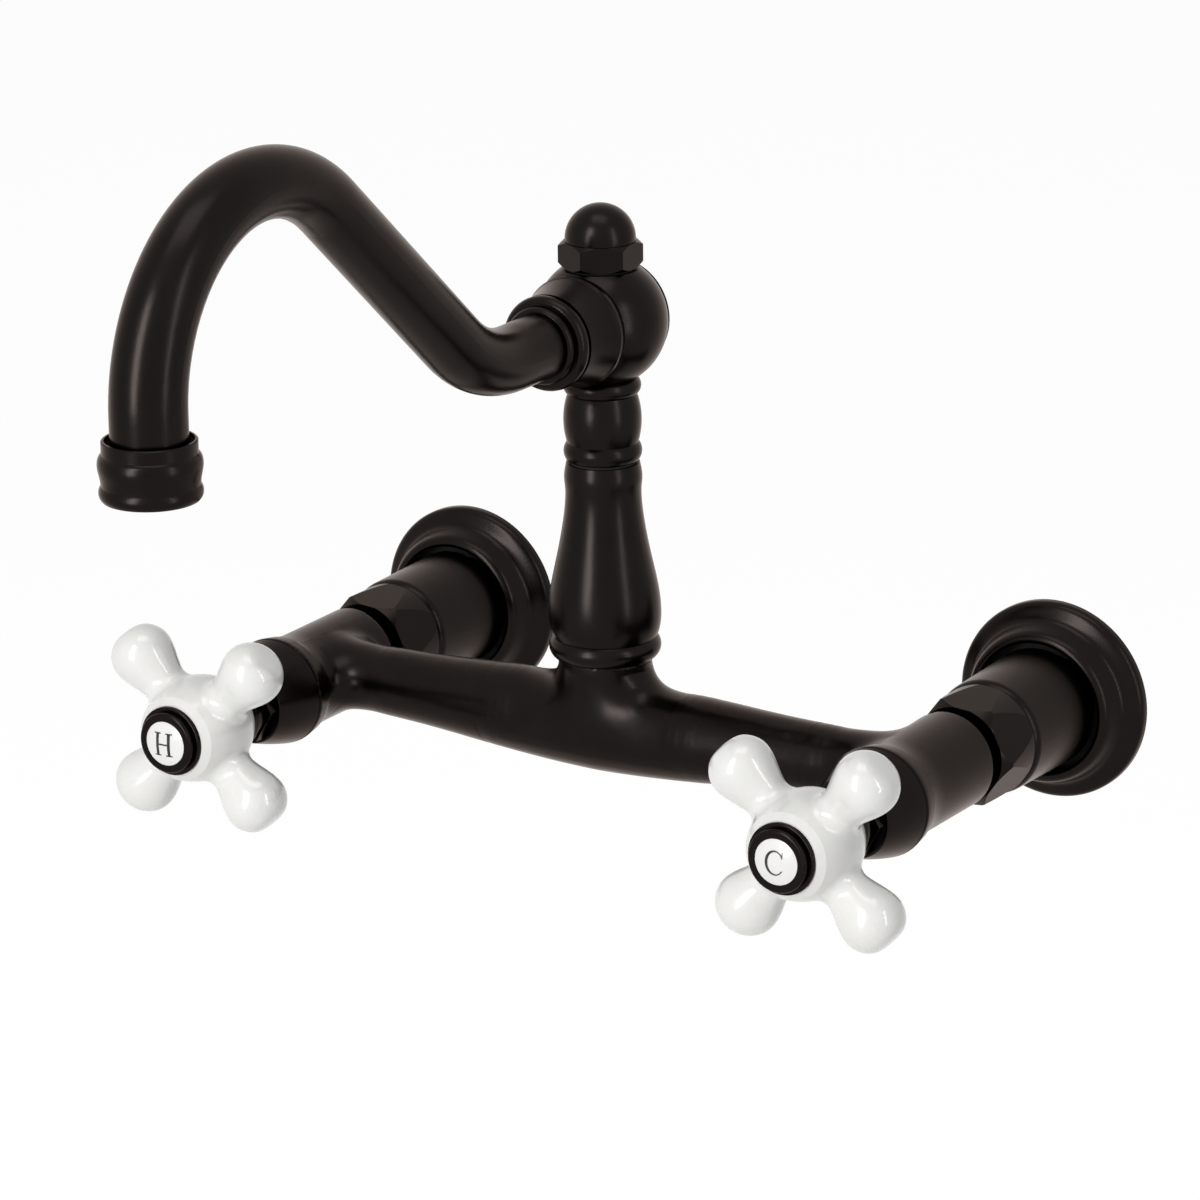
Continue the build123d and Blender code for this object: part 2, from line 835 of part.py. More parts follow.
def index_button():
    """White crowned disc for the hot or cold mark."""
    edge = bezel_front - index_edge_drop
    crown = (0, edge + index_crown)
    return turned(
        TangentArc(crown, (index_radius, edge), tangent=(1, 0)),
        Polyline((index_radius, edge), (index_radius, index_back), (0, index_back), crown),
    )


# Column

def column_seal():
    """Rubber ring under the column's foot."""
    outer = column_thread_radius + column_seal_width - joint_gap
    return ring(outer, column_thread_radius, boss_height - column_seal_thickness, boss_height)


def spout_column():
    """Turned vase-shaped column with a bead at its foot."""
    belly = column_groove_height + column_belly_rise
    foot_edge = (column_foot_radius, boss_height)
    groove_edge = (column_groove_radius, column_groove_height)
    body = turned(
        Polyline((0, column_top), (0, boss_height), foot_edge),
        bulge(foot_edge, groove_edge, base_bead_radius),
        Spline(
            groove_edge,
            (column_belly_radius, belly),
            (column_shoulder_radius, belly + column_shoulder_rise),
            (column_waist_radius, belly + column_waist_rise),
            (column_neck_radius, column_top - column_neck_drop),
            (column_rim_radius, column_top),
            tangents=[(0.5, 1), (-0.25, 1)],
        ),
        Line((column_rim_radius, column_top), (0, column_top)),
    )
    thread_foot = boss_height - column_thread_length + joint_gap
    body += rod(column_thread_radius - joint_gap, thread_foot, boss_height)
    body -= rod(column_bore, boss_height - column_thread_length, column_top)
    return body - rod(post_radius, column_top - post_thread_length, column_top)


def thrust_washer():
    """Slippery washer that the swivel head turns on."""
    return ring(thrust_washer_radius, post_radius + joint_gap, column_top, head_bottom - running_gap)


def post_ring_places():
    """Heights of the rings on the post: two in the head's neck and one under its top."""
    chamber_top = spout_height + head_chamber_height / 2
    upper = (chamber_top + head_top) / 2
    return [head_bottom + rise for rise in post_ring_rises] + [upper]


def swivel_post():
    """Hollow post that carries the water into the head and holds it down."""
    foot = column_top - post_thread_length
    body = rod(post_radius - joint_gap, foot, column_top)
    body += rod(post_radius, column_top, post_shoulder)
    body += rod(post_stud_radius, post_shoulder, post_shoulder + post_stud_length)
    body -= rod(post_bore, foot, spout_height + post_bore)
    for turn in (0, 90):
        port = Rot(90, 0, turn) * rod(post_port, -2 * post_radius, 2 * post_radius)
        body -= Pos(0, 0, spout_height) * port
    for middle in post_ring_places():
        body -= ring_groove(post_radius + running_gap, post_ring_section, middle)
    return body


def post_rings():
    """Rubber rings on the swivel post."""
    inner = post_radius + running_gap - post_ring_section
    return Compound([solid for middle in post_ring_places()
                     for solid in o_ring(inner, post_ring_section - running_gap, middle).solids()])


def cap_washer():
    """Washer between the head's top and the acorn nut."""
    return ring(cap_washer_radius, post_radius + joint_gap, head_top + running_gap, post_shoulder)


def acorn_nut():
    """Acorn nut that holds the swivel head on its post."""
    hex_top = post_shoulder + acorn_hex_height
    corner = acorn_across_flats / 2 / cos(radians(30))
    slope = (corner - acorn_chamfer_radius) * tan(radians(acorn_chamfer_angle))
    chamfer = turned_polygon(
        (0, post_shoulder),
        (acorn_chamfer_radius, post_shoulder),
        (corner, post_shoulder + slope),
        (corner, hex_top - slope),
        (acorn_chamfer_radius, hex_top),
        (0, hex_top),
    )
    nut = hex_bar(acorn_across_flats, post_shoulder, hex_top, acorn_turn) & chamfer
    dome = Pos(0, 0, post_shoulder + acorn_dome_rise) * Sphere(acorn_dome_radius)
    dome &= rod(2 * acorn_dome_radius, post_shoulder + acorn_dome_rise / 2, hex_top + 2 * acorn_dome_radius)
    stud_top = post_shoulder + post_stud_length
    return nut + dome - rod(post_stud_radius + joint_gap, post_shoulder, stud_top + joint_gap)


# Swivel head

def head_outline():
    """Outside of the head below and round the ball."""
    bead_top = head_bottom + head_lower_bead_height
    barrel_top = bead_top + head_barrel_height
    neck_low = barrel_top + head_neck_step
    neck_top = spout_height - sqrt(ball_radius**2 - head_neck_radius**2)
    ball_foot = (head_neck_radius, neck_top)
    ball_crown = (ball_top_radius, head_top)
    return turned(
        bulge((head_waist_radius, head_bottom), (head_waist_radius, bead_top), head_lower_bead_radius),
        bulge((head_waist_radius, bead_top), (head_waist_radius, barrel_top), head_barrel_radius),
        Line((head_waist_radius, barrel_top), (head_neck_radius, neck_low)),
        bulge((head_neck_radius, neck_low), ball_foot, head_upper_bead_radius),
        ThreePointArc(ball_foot, (ball_radius, spout_height), ball_crown),
        Polyline(ball_crown, (0, head_top), (0, head_bottom), (head_waist_radius, head_bottom)),
    )


def swivel_head():
    """Ball head: turns on the post and takes the water from it into the spout."""
    body = column_axis() * head_outline()
    reach = 2 * ball_radius
    front_cut = rod(reach, head_face_offset, head_face_offset + reach)
    rear_cut = rod(reach, plug_face_offset, plug_face_offset + reach)
    body -= spout_axis() * front_cut
    body -= plug_axis() * rear_cut
    body -= column_axis() * rod(post_radius + running_gap, head_bottom, head_top)
    half = head_chamber_height / 2
    body -= column_axis() * rod(head_chamber_radius, spout_height - half, spout_height + half)
    body -= spout_axis() * rod(head_thread_radius, 0, head_face_offset)
    return body - plug_axis() * rod(head_thread_radius, 0, plug_face_offset)


def head_plug():
    """Domed plug that closes the head's rear opening."""
    cap = Sphere(ball_radius + plug_proud) & rod(2 * ball_radius, plug_face_offset, 2 * ball_radius)
    thread_end = head_face_offset - head_thread_length
    return cap + rod(head_thread_radius - joint_gap, thread_end, plug_face_offset)


# Spout

def spout_socket():
    """Drum screwed into the head's face, with a groove behind its rim."""
    groove_floor = sqrt(ball_radius**2 - head_face_offset**2) - groove_depth
    rim_front = socket_back + socket_rim_width
    taper_back = rim_front + 2 * socket_step
    body = turned(
        Polyline((0, head_face_offset), (groove_floor, head_face_offset), (groove_floor, socket_back),
                 (socket_back_radius, socket_back)),
        TangentArc((socket_rim_radius, rim_front), (socket_back_radius, socket_back), tangent=(0, -1)),
        Line((socket_rim_radius, rim_front), (socket_rim_radius - socket_step, taper_back)),
        bulge(
            (socket_rim_radius - socket_step, taper_back),
            (socket_front_radius, socket_front),
            socket_middle_radius - socket_step,
        ),
        Polyline((socket_front_radius, socket_front), (0, socket_front), (0, head_face_offset)),
    )
    body += rod(head_thread_radius - joint_gap, head_face_offset - head_thread_length, head_face_offset)
    body -= rod(socket_bore, head_face_offset - head_thread_length, socket_front)
    return body - rod(spout_radius + joint_gap, socket_front - spout_seat, socket_front)


def spout_collar():
    """Rounded collar and lip ring round the foot of the spout tube."""
    rim_back = (collar_disc_radius - collar_disc_round, socket_front)
    rim_front = (collar_disc_radius - 1.5 * collar_disc_round, collar_ring_back)
    ring_edge = (collar_ring_radius, collar_front - collar_ring_round)
    ring_crest = (collar_ring_lip_radius, collar_front)
    body = turned(
        Line((0, socket_front), rim_back),
        bulge(rim_back, rim_front, collar_disc_radius),
        Polyline(rim_front, (collar_ring_radius, collar_ring_back), ring_edge),
        TangentArc(ring_edge, ring_crest, tangent=(0, 1)),
        Polyline(ring_crest, (0, collar_front), (0, socket_front)),
    )
    return body - rod(spout_radius + joint_gap, socket_front, collar_front)


def spout_points():
    """Tangent points of the spout's centre line, as (distance from the column axis, height)."""
    rise = (cos(spout_slope), sin(spout_slope))
    rise_start = (spout_corner + first_turn * rise[0], spout_height + first_turn * rise[1])
    rise_end = (spout_reach - main_turn * rise[0], spout_crest - main_turn * rise[1])
    return rise_start, rise_end, (spout_reach, leg_top)


def spout_bar(grow):
    """Outside of the spout's bent tube, or its bore when grown by a negative wall."""
    rise_start, rise_end, fall_start = spout_points()
    slope = spout_slope
    start = (socket_front - spout_seat, spout_height)
    bend_start = (spout_bend_start, spout_height)
    stub = Polyline(start, bend_start)
    first = TangentArc(bend_start, rise_start, tangent=(1, 0))
    rise = Line(rise_start, rise_end)
    over = TangentArc(rise_end, fall_start, tangent=(cos(slope), sin(slope)))
    side = Plane(origin=(0, -body_standoff, 0), x_dir=(0, -1, 0), z_dir=(-1, 0, 0))
    lower_path = side * (Curve() + [stub, first, rise])
    lower_section = (spout_axis() * Pos(0, 0, start[0])) * Circle(spout_radius + grow)
    lower = sweep(lower_section, path=lower_path)
    rise_place = (0, -body_standoff - rise_end[0], rise_end[1])
    rise_plane = Plane(origin=rise_place, x_dir=(1, 0, 0), z_dir=(0, -cos(slope), sin(slope)))
    fall_place = (0, -body_standoff - fall_start[0], fall_start[1])
    fall_plane = Plane(origin=fall_place, x_dir=(1, 0, 0), z_dir=(0, 0, -1))
    sections = [rise_plane * Circle(spout_radius + grow), fall_plane * Circle(spout_outlet_radius + grow)]
    upper = sweep(sections, path=side * over, multisection=True)
    leg = outlet_axis() * rod(spout_outlet_radius + grow, leg_bottom, leg_top)
    return lower + upper + leg


def spout_tube():
    """Gooseneck tube, a little wider at its outlet."""
    return spout_bar(0) - spout_bar(-spout_wall)


# Aerator

def aerator_housing():
    """Screwed outlet ring that holds the aerator under the spout."""
    top = aerator_bottom + aerator_height
    band = top - aerator_mouth_depth
    waist = aerator_bottom + aerator_lip_height
    foot = aerator_lip_radius - aerator_lip_round
    body = turned(
        Polyline(
            (0, top),
            (aerator_mouth_radius - aerator_mouth_chamfer, top),
            (aerator_mouth_radius, top - aerator_mouth_chamfer),
            (aerator_mouth_radius, band),
        ),
        Spline(
            (aerator_mouth_radius, band),
            (aerator_bulge_radius, band - aerator_bulge_drop),
            (aerator_waist_radius, waist),
            tangents=[(1, -0.6), (-0.05, -1)],
        ),
        bulge((aerator_waist_radius, waist), (foot, aerator_bottom), aerator_lip_radius),
        Polyline((foot, aerator_bottom), (0, aerator_bottom), (0, top)),
    )
    seat = aerator_bottom + aerator_seat_rise
    body -= rod(aerator_mouth_radius - aerator_rim_wall, top - aerator_mouth_depth / 2, top)
    body -= rod(spout_outlet_radius + joint_gap, seat, top)
    return body - rod(aerator_insert_radius, aerator_bottom, seat)


def aerator_washer():
    """Rubber washer between the tube's end and the aerator insert."""
    seat = aerator_bottom + aerator_seat_rise
    inner = spout_outlet_radius - spout_wall - joint_gap
    return ring(aerator_insert_radius - joint_gap, inner, seat - aerator_washer_thickness, seat)


def aerator_insert():
    """Plastic flow straightener: an open cup with crossing ribs."""
    low = aerator_bottom + 2 * screen_thickness
    high = aerator_bottom + aerator_seat_rise - aerator_washer_thickness
    outer = aerator_insert_radius - joint_gap
    inner = outer - insert_rib
    body = ring(outer, inner, low, high)
    for turn in (0, 60, 120):
        rib = box_between((-outer, -insert_rib / 2, low), (outer, insert_rib / 2, high))
        body += (Rot(0, 0, turn) * rib) & rod(inner + joint_gap, low, high)
    return body


def aerator_screen():
    """Pierced outlet plate with rows of round holes."""
    low = aerator_bottom + screen_thickness
    outer = aerator_insert_radius - joint_gap
    plate = Circle(outer)
    steps = int(outer / screen_pitch) + 1
    holes = []
    for row in range(-steps, steps + 1):
        for place in range(-steps, steps + 1):
            x = (place + row % 2 / 2) * screen_pitch
            y = row * screen_pitch * sin(radians(60))
            if sqrt(x**2 + y**2) < outer - 2 * screen_hole_radius:
                holes.append(Pos(x, y) * Circle(screen_hole_radius))
    return extrude(Pos(0, 0, low) * (plate - holes), screen_thickness)


# Assembly

def build_pieces():
    """Every piece in its place, by name."""
    pieces = {
        "bridge_body": bridge_body(),
        "column_seal": column_axis() * column_seal(),
        "spout_column": column_axis() * spout_column(),
        "thrust_washer": column_axis() * thrust_washer(),
        "swivel_post": column_axis() * swivel_post(),
        "post_rings": column_axis() * post_rings(),
        "cap_washer": column_axis() * cap_washer(),
        "acorn_nut": column_axis() * acorn_nut(),
        "swivel_head": swivel_head(),
        "head_plug": plug_axis() * head_plug(),
        "spout_socket": spout_axis() * spout_socket(),
        "spout_collar": spout_axis() * spout_collar(),
        "spout_tube": spout_tube(),
        "aerator_housing": outlet_axis() * aerator_housing(),
        "aerator_washer": outlet_axis() * aerator_washer(),
        "aerator_insert": outlet_axis() * aerator_insert(),
        "aerator_screen": outlet_axis() * aerator_screen(),
    }
    side_pieces = {
        "wall_flange": wall_flange,
        "flange_seal": flange_seal,
        "union_coupling": union_coupling,
        "union_washer": union_washer,
        "union_nut": union_nut,
        "tailpiece": tailpiece,
        "seat_seal": seat_seal,
        "fixed_disc": fixed_disc,
        "moving_disc": moving_disc,
        "cartridge_body": cartridge_body,
        "body_ring": body_ring,
        "stem": stem,
        "stem_rings": stem_rings,
        "stem_clip": stem_clip,
        "bonnet_collar": bonnet_collar,
        "handle_ferrule": handle_ferrule,
        "cross_handle": cross_handle,
        "handle_insert": handle_insert,
        "handle_screw": handle_screw,
        "button_bezel": button_bezel,
        "index_button": index_button,
    }
    for side, water in ((-1, "hot"), (1, "cold")):
        for name, make in side_pieces.items():
            pieces[f"{water}_{name}"] = valve_axis(side) * make()
    pieces["cold_cross_handle"] = valve_axis(1) * cross_handle(cold_handle_turn)
    return pieces


os.makedirs("parts", exist_ok=True)
for name, piece in build_pieces().items():
    export_step(piece, f"parts/{name}.step")
    print(name, len(piece.solids()), round(piece.volume, 1))
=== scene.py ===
# %% [markdown]
# # A wall-mounted bridge faucet
# This lesson dresses a faucet whose metal and porcelain parts already exist as solids. The solids
# come in as a fixed frame with real sizes and real joints. What is left for Blender is the look: a
# camera, a plain studio, the finishes, a casting whose forms flow into each other, and the enamel
# marks that the solids don't carry.

# %% Start
import json
import math

import bmesh
import bpy
from mathutils import Matrix, Vector


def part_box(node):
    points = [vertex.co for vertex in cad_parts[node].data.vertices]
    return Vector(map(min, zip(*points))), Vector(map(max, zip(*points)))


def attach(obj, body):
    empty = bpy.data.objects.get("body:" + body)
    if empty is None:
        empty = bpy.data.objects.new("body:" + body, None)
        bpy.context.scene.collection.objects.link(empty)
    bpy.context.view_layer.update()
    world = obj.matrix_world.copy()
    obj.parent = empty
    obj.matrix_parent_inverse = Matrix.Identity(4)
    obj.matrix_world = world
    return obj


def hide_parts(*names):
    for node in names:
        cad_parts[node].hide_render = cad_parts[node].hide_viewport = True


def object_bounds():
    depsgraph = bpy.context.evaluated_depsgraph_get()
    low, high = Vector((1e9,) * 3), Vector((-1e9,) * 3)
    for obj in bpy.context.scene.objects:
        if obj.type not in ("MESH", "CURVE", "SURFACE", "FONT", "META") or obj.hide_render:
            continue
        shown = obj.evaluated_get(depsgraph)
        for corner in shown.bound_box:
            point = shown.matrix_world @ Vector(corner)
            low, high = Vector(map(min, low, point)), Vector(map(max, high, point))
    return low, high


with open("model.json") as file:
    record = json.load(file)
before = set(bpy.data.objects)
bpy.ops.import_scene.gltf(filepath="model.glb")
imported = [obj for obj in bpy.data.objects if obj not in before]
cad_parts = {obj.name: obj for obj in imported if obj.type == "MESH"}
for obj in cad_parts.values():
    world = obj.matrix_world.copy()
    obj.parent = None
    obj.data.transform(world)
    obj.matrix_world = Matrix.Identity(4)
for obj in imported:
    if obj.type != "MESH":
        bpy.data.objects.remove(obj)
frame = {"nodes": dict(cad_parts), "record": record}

MM = 0.001
scene = bpy.context.scene
nodes = frame["nodes"]
cad_low, cad_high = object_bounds()


def rounded(place):
    """A place in metres as plain numbers, for the printed notes."""
    return tuple(round(value, 4) for value in place)


print("solids:", len(nodes), "from", rounded(cad_low), "to", rounded(cad_high))

# %% [markdown]
# ## The camera
# A picture of a product is usually taken with a long lens, which keeps upright things upright. The
# camera stands to the right of the faucet and a little above it. Its optical axis doesn't pass
# through the middle of the picture, so the lens is shifted sideways rather than the camera turned.
# Its place is in metres, its angles are in radians, and its lens and sensor in millimetres.

# %% Camera
CAMERA_PLACE = (0.804418, -1.390467, 0.508368)
CAMERA_TURN = 0.581867715
CAMERA_DIP = 0.297568411
CAMERA_ROLL = -0.0208705
CAMERA_LENS = 166.375
CAMERA_SENSOR = 36
CAMERA_SHIFT = (0.12458, 0.0)
CAMERA_RANGE = (0.05, 60)


def set_up_camera():
    """The scene's camera: turned about Z, tipped down, and rolled by about a degree."""
    data = bpy.data.cameras.new("camera")
    data.lens = CAMERA_LENS
    data.sensor_width = CAMERA_SENSOR
    data.shift_x, data.shift_y = CAMERA_SHIFT
    data.clip_start, data.clip_end = CAMERA_RANGE
    camera = bpy.data.objects.new("camera", data)
    turn = Matrix.Rotation(CAMERA_TURN, 4, "Z")
    tip = Matrix.Rotation(math.pi / 2 - CAMERA_DIP, 4, "X")
    roll = Matrix.Rotation(CAMERA_ROLL, 4, "Z")
    camera.matrix_world = Matrix.Translation(CAMERA_PLACE) @ turn @ tip @ roll
    scene.collection.objects.link(camera)
    scene.camera = camera
    return camera


print("camera lens:", set_up_camera().data.lens)

# %% [markdown]
# ## The studio
# The faucet hangs on a wall in use, but the picture shows it against plain white. A wide pale floor
# far below it catches a soft shadow. The world is white to the camera and to reflections, and
# dimmer as a light, so that the background doesn't wash the object out.

# %% Floor and world
WHITE = (1, 1, 1, 1)
PAPER = (0.9, 0.9, 0.9, 1)
PAPER_ROUGHNESS = 0.9
FLOOR_DROP = 0.28
FLOOR_SIZE = 40.0
WORLD_LIGHT = 0.22
FLOOR_GLOW = 1.09
FLOOR_GLOW_SHARE = 0.85


def shader_tree(tree, *names):
    """Adds shader nodes by type name to a tree and returns them."""
    return [tree.nodes.new("ShaderNode" + name) for name in names]


def seen_ray(tree):
    """A value that is 1 for camera, glossy and transmission rays."""
    path, first, second = shader_tree(tree, "LightPath", "Math", "Math")
    for adder in (first, second):
        adder.operation = "ADD"
        adder.use_clamp = True
    tree.links.new(path.outputs["Is Camera Ray"], first.inputs[0])
    tree.links.new(path.outputs["Is Glossy Ray"], first.inputs[1])
    tree.links.new(first.outputs[0], second.inputs[0])
    tree.links.new(path.outputs["Is Transmission Ray"], second.inputs[1])
    return second.outputs[0]


def set_up_world():
    """White to the eye, a dimmer neutral light to the object."""
    world = bpy.data.worlds.new("studio")
    scene.world = world
    world.use_nodes = True
    tree = world.node_tree
    tree.nodes.clear()
    light, white, mix, out = shader_tree(
        tree, "Background", "Background", "MixShader", "OutputWorld")
    light.inputs["Strength"].default_value = WORLD_LIGHT
    light.inputs["Color"].default_value = WHITE
    white.inputs["Color"].default_value = WHITE
    tree.links.new(seen_ray(tree), mix.inputs[0])
    tree.links.new(light.outputs[0], mix.inputs[1])
    tree.links.new(white.outputs[0], mix.inputs[2])
    tree.links.new(mix.outputs[0], out.inputs["Surface"])


def floor_material():
    """Pale floor: mostly its own white, with a share of lit paper that keeps the shadow."""
    material = bpy.data.materials.new("floor paper")
    material.use_nodes = True
    tree = material.node_tree
    paper = tree.nodes["Principled BSDF"]
    glow, share, scale = shader_tree(tree, "Emission", "MixShader", "Math")
    paper.inputs["Base Color"].default_value = PAPER
    paper.inputs["Roughness"].default_value = PAPER_ROUGHNESS
    scale.operation = "MULTIPLY"
    scale.inputs[1].default_value = FLOOR_GLOW_SHARE
    glow.inputs["Strength"].default_value = FLOOR_GLOW
    tree.links.new(seen_ray(tree), scale.inputs[0])
    tree.links.new(scale.outputs[0], share.inputs[0])
    tree.links.new(paper.outputs[0], share.inputs[1])
    tree.links.new(glow.outputs[0], share.inputs[2])
    tree.links.new(share.outputs[0], tree.nodes["Material Output"].inputs["Surface"])
    return material


def set_up_floor():
    """A wide flat floor below the faucet."""
    shape = bmesh.new()
    bmesh.ops.create_grid(shape, x_segments=2, y_segments=2, size=FLOOR_SIZE / 2)
    bmesh.ops.translate(shape, verts=shape.verts, vec=(0, 0, cad_low.z - FLOOR_DROP))
    mesh = bpy.data.meshes.new("floor")
    shape.to_mesh(mesh)
    shape.free()
    floor = bpy.data.objects.new("floor", mesh)
    mesh.materials.append(floor_material())
    scene.collection.objects.link(floor)
    return floor


set_up_world()
print("floor height:", round(set_up_floor().data.vertices[0].co.z, 3))

# %% [markdown]
# ## The lamps
# Dark metal shows its shape only by what it mirrors. Two tall soft boxes stand to the left and to
# the right of the camera's line, and each draws an upright streak on every round part. A wide one
# hangs overhead for the tops of the tubes. Angles are in degrees and the powers in watts.

# %% Lamps
LAMP_TARGET = Vector((0, -0.12, 0.08))


def soft_box(name, azimuth, elevation, distance, width, height, power):
    """An area lamp that looks at the faucet from a compass direction; 0 is straight in front."""
    turn, rise = math.radians(azimuth), math.radians(elevation)
    level = math.cos(rise)
    out = Vector((math.sin(turn) * level, -math.cos(turn) * level, math.sin(rise)))
    data = bpy.data.lights.new(name, "AREA")
    data.shape = "RECTANGLE"
    data.size = width
    data.size_y = height
    data.energy = power
    lamp = bpy.data.objects.new(name, data)
    lamp.location = LAMP_TARGET + out * distance
    lamp.rotation_euler = out.to_track_quat("Z", "Y").to_euler()
    scene.collection.objects.link(lamp)


soft_box("left box", azimuth=-6, elevation=18, distance=1.9, width=0.45, height=1.7, power=31)
soft_box("right box", azimuth=79, elevation=14, distance=1.9, width=0.15, height=1.7, power=8)
soft_box("top box", azimuth=20, elevation=80, distance=1.8, width=1.2, height=0.8, power=7)

scene.view_settings.view_transform = "Standard"

# %% [markdown]
# ## Shared effects
# Two effects return in the finishes: a cloudy variation of colour and gloss, and rubbed edges. Each
# is a node group that a material can give its own values. The groups hand out only numbers, and the
# shader itself stays in the material, where its gloss can be exported.

# %% Shared effects
def new_group(name, inputs, outputs):
    """An empty shader node group, whose sockets are given by label, type and usual value."""
    group = bpy.data.node_groups.new(name, "ShaderNodeTree")
    for kind, sockets in (("INPUT", inputs), ("OUTPUT", outputs)):
        for label, sort, value in sockets:
            socket = group.interface.new_socket(
                name=label, in_out=kind, socket_type="NodeSocket" + sort)
            if value is not None:
                socket.default_value = value
    entry = group.nodes.new("NodeGroupInput")
    leave = group.nodes.new("NodeGroupOutput")
    return group, entry, leave


def cloud_group():
    """Slow and fine noise together, from 0 to 1 round a middle of 0.5."""
    group, entry, leave = new_group(
        "cloud",
        [("Size", "Float", 100.0), ("Detail Size", "Float", 600.0), ("Detail Share", "Float", 0.3)],
        [("Value", "Float", None)],
    )
    place, slow, fine, mix = shader_tree(group, "TexCoord", "TexNoise", "TexNoise", "Mix")
    for noise, socket in ((slow, "Size"), (fine, "Detail Size")):
        noise.inputs["Detail"].default_value = 3
        group.links.new(place.outputs["Object"], noise.inputs["Vector"])
        group.links.new(entry.outputs[socket], noise.inputs["Scale"])
    group.links.new(entry.outputs["Detail Share"], mix.inputs["Factor"])
    group.links.new(slow.outputs["Fac"], mix.inputs["A"])
    group.links.new(fine.outputs["Fac"], mix.inputs["B"])
    group.links.new(mix.outputs["Result"], leave.inputs["Value"])
    return group


def rubbed_group():
    """Mask of the edges that hands and cloths rub: sharp ridges, broken up by noise."""
    group, entry, leave = new_group(
        "rubbed edges",
        [("Start", "Float", 0.6), ("End", "Float", 0.8), ("Break Up", "Float", 400.0)],
        [("Mask", "Float", None)],
    )
    form, ramp, place, noise, product = shader_tree(
        group, "NewGeometry", "MapRange", "TexCoord", "TexNoise", "Math")
    product.operation = "MULTIPLY"
    product.use_clamp = True
    noise.inputs["Detail"].default_value = 4
    group.links.new(place.outputs["Object"], noise.inputs["Vector"])
    group.links.new(entry.outputs["Break Up"], noise.inputs["Scale"])
    group.links.new(form.outputs["Pointiness"], ramp.inputs["Value"])
    group.links.new(entry.outputs["Start"], ramp.inputs["From Min"])
    group.links.new(entry.outputs["End"], ramp.inputs["From Max"])
    group.links.new(ramp.outputs["Result"], product.inputs[0])
    group.links.new(noise.outputs["Fac"], product.inputs[1])
    group.links.new(product.outputs[0], leave.inputs["Mask"])
    return group


CLOUD = cloud_group()
RUBBED = rubbed_group()
print("shared effects:", CLOUD.name, "and", RUBBED.name)

# %% [markdown]
# ## Building a finish
# All the finishes have the same skeleton: a colour that drifts between two tones, a roughness that
# drifts between two values, and a fine relief. The metals also have a rubbed tone on their edges.
# A helper wires it once.

# %% Finish helper
def finish(name, dark, light, rough, relief, metal=0.0, rubbed=None,
           cloud=(90, 900, 0.3), grain=2500, **fixed):
    """A material from two colours, two roughness values and a relief height in metres.

    cloud holds the scales of the slow and the fine noise and the share of the fine one. grain is
    the scale of the relief, and fixed sets other sockets of the shader by their names.
    """
    material = bpy.data.materials.new(name)
    material.use_nodes = True
    tree = material.node_tree
    shader = tree.nodes["Principled BSDF"]
    shader.inputs["Metallic"].default_value = metal
    for socket, value in fixed.items():
        shader.inputs[socket.replace("_", " ")].default_value = value
    drift, tone, gloss = shader_tree(tree, "Group", "Mix", "MapRange")
    drift.node_tree = CLOUD
    for socket, value in zip(("Size", "Detail Size", "Detail Share"), cloud):
        drift.inputs[socket].default_value = value
    tone.data_type = "RGBA"
    tone.inputs["A"].default_value = (*dark, 1)
    tone.inputs["B"].default_value = (*light, 1)
    tree.links.new(drift.outputs["Value"], tone.inputs["Factor"])
    colour = tone.outputs["Result"]
    if rubbed:
        wear, edge = shader_tree(tree, "Group", "Mix")
        wear.node_tree = RUBBED
        edge.data_type = "RGBA"
        edge.inputs["B"].default_value = (*rubbed, 1)
        tree.links.new(wear.outputs["Mask"], edge.inputs["Factor"])
        tree.links.new(colour, edge.inputs["A"])
        colour = edge.outputs["Result"]
    tree.links.new(colour, shader.inputs["Base Color"])
    gloss.inputs["To Min"].default_value = rough[0]
    gloss.inputs["To Max"].default_value = rough[1]
    tree.links.new(drift.outputs["Value"], gloss.inputs["Value"])
    tree.links.new(gloss.outputs["Result"], shader.inputs["Roughness"])
    place, noise, bump = shader_tree(tree, "TexCoord", "TexNoise", "Bump")
    noise.inputs["Scale"].default_value = grain
    noise.inputs["Detail"].default_value = 4
    bump.inputs["Distance"].default_value = relief
    tree.links.new(place.outputs["Object"], noise.inputs["Vector"])
    tree.links.new(noise.outputs["Fac"], bump.inputs["Height"])
    tree.links.new(bump.outputs["Normal"], shader.inputs["Normal"])
    return material


# %% [markdown]
# ## The finishes
# Oil-rubbed bronze is brass darkened by a chemical bath and sealed with a satin lacquer. It is
# nearly black, with a brown breath in the highlights, and the brass-brown tone comes back where
# edges are rubbed. The porcelain is a white body under a thick clear glaze.

